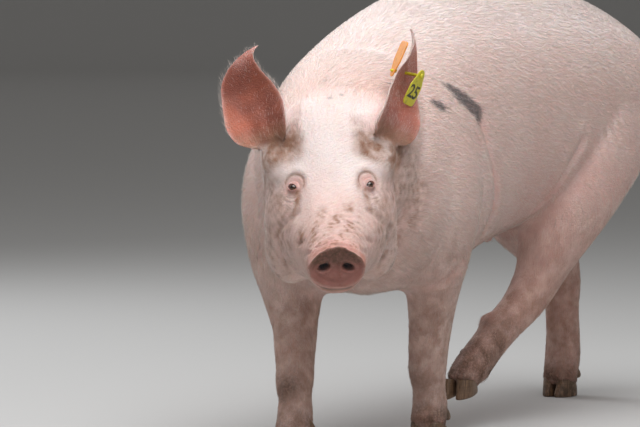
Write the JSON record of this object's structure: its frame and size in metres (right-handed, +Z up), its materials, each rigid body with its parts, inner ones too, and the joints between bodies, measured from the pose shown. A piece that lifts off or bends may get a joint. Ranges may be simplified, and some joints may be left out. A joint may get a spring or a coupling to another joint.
{
  "type": "pig",
  "caption": "A life-size still model of a walking white pig: head low and turned to its left, ears up with a tag in one, near hind foot lifted in mid-step.",
  "frame": {"origin": "on the floor, at the middle of the model's floor rectangle", "axes": "+Z up, the pig walks towards -Y, and its left side is towards +X"},
  "size_m": [0.503, 1.7794, 0.9096],
  "materials": {
    "pig_skin": "satin",
    "claw_horn": "satin",
    "eye_wet": "gloss",
    "tag_yellow": "satin",
    "tag_orange": "satin"
  },
  "bodies": {
    "root": {"ear_left": "pig_skin", "ear_right": "pig_skin", "ear_tag_back": "tag_orange", "ear_tag_front": "tag_yellow", "eye_left": "eye_wet", "eye_right": "eye_wet", "foreleg_left_claw_inner": "claw_horn", "foreleg_left_claw_outer": "claw_horn", "foreleg_left_dewclaw_inner": "claw_horn", "foreleg_left_dewclaw_outer": "claw_horn", "foreleg_left_foot": "pig_skin", "foreleg_left_upper": "pig_skin", "foreleg_right_claw_inner": "claw_horn", "foreleg_right_claw_outer": "claw_horn", "foreleg_right_dewclaw_inner": "claw_horn", "foreleg_right_dewclaw_outer": "claw_horn", "foreleg_right_foot": "pig_skin", "foreleg_right_upper": "pig_skin", "head": "pig_skin", "hindleg_left_claw_inner": "claw_horn", "hindleg_left_claw_outer": "claw_horn", "hindleg_left_dewclaw_inner": "claw_horn", "hindleg_left_dewclaw_outer": "claw_horn", "hindleg_left_foot": "pig_skin", "hindleg_left_upper": "pig_skin", "hindleg_right_claw_inner": "claw_horn", "hindleg_right_claw_outer": "claw_horn", "hindleg_right_dewclaw_inner": "claw_horn", "hindleg_right_dewclaw_outer": "claw_horn", "hindleg_right_foot": "pig_skin", "hindleg_right_upper": "pig_skin", "neck": "pig_skin", "snout": "pig_skin", "tail": "pig_skin", "trunk_front": "pig_skin", "trunk_middle": "pig_skin", "trunk_rear": "pig_skin"}
  },
  "joints": []
}
